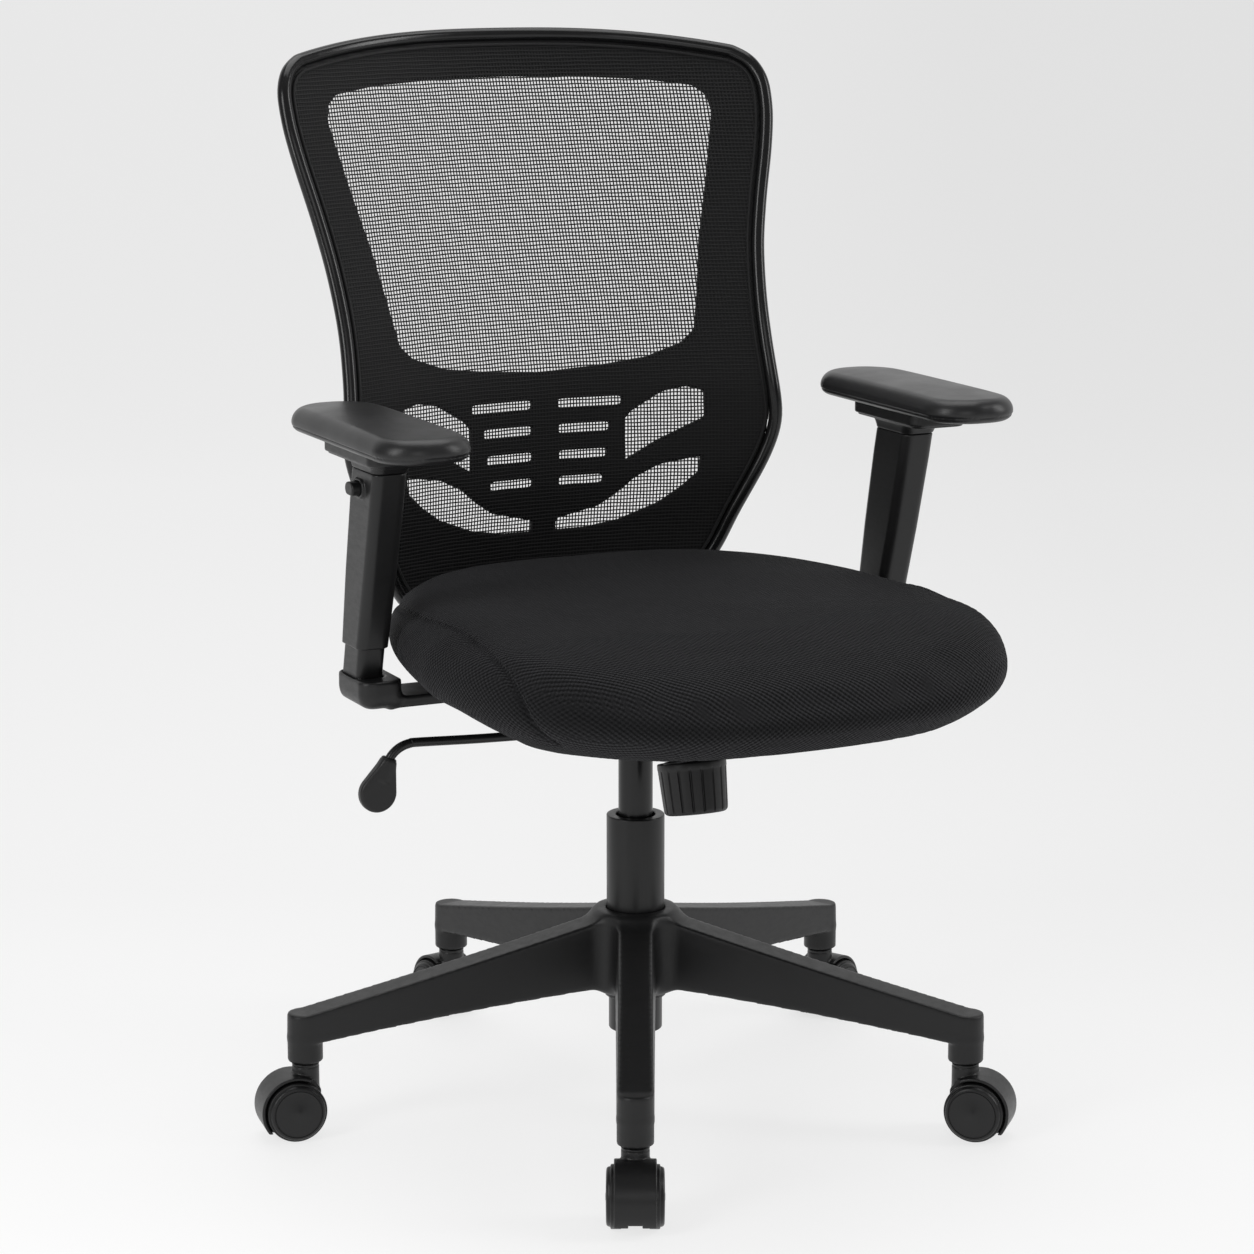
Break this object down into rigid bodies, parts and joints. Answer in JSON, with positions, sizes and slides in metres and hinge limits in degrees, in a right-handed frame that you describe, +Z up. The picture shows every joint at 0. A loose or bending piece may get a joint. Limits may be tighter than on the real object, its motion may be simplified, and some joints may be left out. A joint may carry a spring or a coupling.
{
  "type": "swivel office chair",
  "caption": "Task chair with a stretched mesh back, padded seat, height-adjustable arms, gas lift column, tilt mechanism and a caster base.",
  "frame": {"origin": "centre of the object's box at floor level; the column axis is at x = 0.0165, y = 0.0066", "axes": "+Z up; the seat faces -Y; the sitter's right is -X"},
  "size_m": [0.6885, 0.7294, 0.9859],
  "materials": {
    "nylon": "moulded glass-filled nylon, fine texture, semi-matt",
    "caster_nylon": "moulded nylon, satin",
    "rim_plastic": "smooth satin-gloss plastic",
    "steel": "plain machined steel",
    "black_steel": "black powder-coated steel",
    "black_tube": "smooth black enamelled tube",
    "bush_plastic": "low-friction bush plastic",
    "seat_fabric": "black spacer knit with a fine dotted weave",
    "mesh_fabric": "black open mesh cloth",
    "arm_pad": "soft-touch moulded pad skin",
    "pan_board": "moulded shell, matt"
  },
  "bodies": {
    "base": {"five_star_base": "nylon", "gas_lift_outer_tube": "black_tube", "column_cover_sleeve": "black_tube", "gas_lift_guide_bush": "bush_plastic"},
    "caster_1": {"caster_1_hood": "caster_nylon", "caster_1_stem": "steel", "caster_1_axle": "steel"},
    "caster_1_wheel_a": {"caster_1_wheel_a": "caster_nylon"},
    "caster_1_wheel_b": {"caster_1_wheel_b": "caster_nylon"},
    "caster_2": {"caster_2_hood": "caster_nylon", "caster_2_stem": "steel", "caster_2_axle": "steel"},
    "caster_2_wheel_a": {"caster_2_wheel_a": "caster_nylon"},
    "caster_2_wheel_b": {"caster_2_wheel_b": "caster_nylon"},
    "caster_3": {"caster_3_hood": "caster_nylon", "caster_3_stem": "steel", "caster_3_axle": "steel"},
    "caster_3_wheel_a": {"caster_3_wheel_a": "caster_nylon"},
    "caster_3_wheel_b": {"caster_3_wheel_b": "caster_nylon"},
    "caster_4": {"caster_4_hood": "caster_nylon", "caster_4_stem": "steel", "caster_4_axle": "steel"},
    "caster_4_wheel_a": {"caster_4_wheel_a": "caster_nylon"},
    "caster_4_wheel_b": {"caster_4_wheel_b": "caster_nylon"},
    "caster_5": {"caster_5_hood": "caster_nylon", "caster_5_stem": "steel", "caster_5_axle": "steel"},
    "caster_5_wheel_a": {"caster_5_wheel_a": "caster_nylon"},
    "caster_5_wheel_b": {"caster_5_wheel_b": "caster_nylon"},
    "column_swivel": {"gas_spring_rod": "steel", "thrust_bearing": "steel"},
    "mechanism": {"gas_spring_cylinder": "black_tube", "tilt_mechanism_housing": "black_steel", "tilt_pivot_shaft": "steel", "tension_bolt": "steel", "tension_spring": "black_steel"},
    "knob": {"tension_knob": "nylon"},
    "lever_bush": {"lever_bush": "nylon"},
    "lever": {"control_lever_rod": "black_steel", "control_lever_paddle": "nylon"},
    "seat": {"seat_mounting_plate": "black_steel", "seat_pan": "pan_board", "seat_cushion": "seat_fabric", "back_support_bar": "black_steel", "back_frame": "nylon", "back_rim": "rim_plastic", "back_mesh": "mesh_fabric", "back_bar_bolt_right": "steel", "back_bar_bolt_left": "steel", "arm_bracket_right": "nylon", "arm_bracket_left": "nylon"},
    "arm_right": {"arm_sleeve_right": "nylon", "arm_top_plate_right": "nylon", "arm_pad_right": "arm_pad"},
    "button_right": {"arm_button_right": "nylon"},
    "arm_left": {"arm_sleeve_left": "nylon", "arm_top_plate_left": "nylon", "arm_pad_left": "arm_pad"},
    "button_left": {"arm_button_left": "nylon"}
  },
  "joints": [
    {"name": "caster_1_swivel", "type": "hinge", "parent": "base", "child": "caster_1", "pos_m": [-0.12167, -0.2787, 0.06], "axis": [0, 0, 1], "continuous": true},
    {"name": "caster_1_wheel_a_spin", "type": "hinge", "parent": "caster_1", "child": "caster_1_wheel_a", "pos_m": [-0.12712, -0.28995, 0.0275], "axis": [0.9, -0.4359, 0], "continuous": true},
    {"name": "caster_1_wheel_b_spin", "type": "hinge", "parent": "caster_1", "child": "caster_1_wheel_b", "pos_m": [-0.12712, -0.28995, 0.0275], "axis": [0.9, -0.4359, 0], "continuous": true},
    {"name": "caster_2_swivel", "type": "hinge", "parent": "base", "child": "caster_2", "pos_m": [0.24514, -0.21297, 0.06], "axis": [0, 0, 1], "continuous": true},
    {"name": "caster_2_wheel_a_spin", "type": "hinge", "parent": "caster_2", "child": "caster_2_wheel_a", "pos_m": [0.25416, -0.22163, 0.0275], "axis": [0.6926, 0.7213, 0], "continuous": true},
    {"name": "caster_2_wheel_b_spin", "type": "hinge", "parent": "caster_2", "child": "caster_2_wheel_b", "pos_m": [0.25416, -0.22163, 0.0275], "axis": [0.6926, 0.7213, 0], "continuous": true},
    {"name": "caster_3_swivel", "type": "hinge", "parent": "base", "child": "caster_3", "pos_m": [0.29598, 0.1562, 0.06], "axis": [0, 0, 1], "continuous": true},
    {"name": "caster_3_wheel_a_spin", "type": "hinge", "parent": "caster_3", "child": "caster_3_wheel_a", "pos_m": [0.307, 0.1621, 0.0275], "axis": [-0.4719, 0.8816, 0], "continuous": true},
    {"name": "caster_3_wheel_b_spin", "type": "hinge", "parent": "caster_3", "child": "caster_3_wheel_b", "pos_m": [0.307, 0.1621, 0.0275], "axis": [-0.4719, 0.8816, 0], "continuous": true},
    {"name": "caster_4_swivel", "type": "hinge", "parent": "base", "child": "caster_4", "pos_m": [-0.03942, 0.31863, 0.06], "axis": [0, 0, 1], "continuous": true},
    {"name": "caster_4_wheel_a_spin", "type": "hinge", "parent": "caster_4", "child": "caster_4_wheel_a", "pos_m": [-0.04162, 0.33093, 0.0275], "axis": [-0.9843, -0.1764, 0], "continuous": true},
    {"name": "caster_4_wheel_b_spin", "type": "hinge", "parent": "caster_4", "child": "caster_4_wheel_b", "pos_m": [-0.04162, 0.33093, 0.0275], "axis": [-0.9843, -0.1764, 0], "continuous": true},
    {"name": "caster_5_swivel", "type": "hinge", "parent": "base", "child": "caster_5", "pos_m": [-0.29754, 0.04984, 0.06], "axis": [0, 0, 1], "continuous": true},
    {"name": "caster_5_wheel_a_spin", "type": "hinge", "parent": "caster_5", "child": "caster_5_wheel_a", "pos_m": [-0.30992, 0.05155, 0.0275], "axis": [-0.1364, -0.9907, 0], "continuous": true},
    {"name": "caster_5_wheel_b_spin", "type": "hinge", "parent": "caster_5", "child": "caster_5_wheel_b", "pos_m": [-0.30992, 0.05155, 0.0275], "axis": [-0.1364, -0.9907, 0], "continuous": true},
    {"name": "seat_swivel", "type": "hinge", "parent": "base", "child": "column_swivel", "pos_m": [0.0165, 0.0066, 0.08], "axis": [0, 0, 1], "continuous": true},
    {"name": "gas_lift", "type": "slide", "parent": "column_swivel", "child": "mechanism", "axis": [0, 0, 1], "range_m": [-0.05, 0.05]},
    {"name": "tension_knob_turn", "type": "hinge", "parent": "mechanism", "child": "knob", "pos_m": [0.0185, -0.1094, 0.329], "axis": [0, 0.225, 0.9744], "range_deg": [-360, 360]},
    {"name": "lever_pull", "type": "slide", "parent": "mechanism", "child": "lever_bush", "axis": [-1, 0, 0], "range_m": [0, 0.01]},
    {"name": "lever_lift", "type": "hinge", "parent": "lever_bush", "child": "lever", "pos_m": [-0.0465, -0.0284, 0.371], "axis": [0, 1, 0], "range_deg": [0, 8], "stiffness_Nm_per_rad": 3, "springref_deg": -6.88},
    {"name": "seat_tilt", "type": "hinge", "parent": "mechanism", "child": "seat", "pos_m": [0.0165, -0.0734, 0.377], "axis": [-1, 0, 0], "range_deg": [0, 12], "stiffness_Nm_per_rad": 160, "springref_deg": -20.05},
    {"name": "arm_right_height", "type": "slide", "parent": "seat", "child": "arm_right", "axis": [0, -0.2425, 0.9701], "range_m": [-0.016, 0.055]},
    {"name": "arm_right_button_press", "type": "slide", "parent": "arm_right", "child": "button_right", "axis": [1, 0, 0], "range_m": [0, 0.003], "stiffness_N_per_m": 800, "springref_m": -0.003},
    {"name": "arm_left_height", "type": "slide", "parent": "seat", "child": "arm_left", "axis": [0, -0.2425, 0.9701], "range_m": [-0.016, 0.055]},
    {"name": "arm_left_button_press", "type": "slide", "parent": "arm_left", "child": "button_left", "axis": [-1, 0, 0], "range_m": [0, 0.003], "stiffness_N_per_m": 800, "springref_m": -0.003}
  ]
}
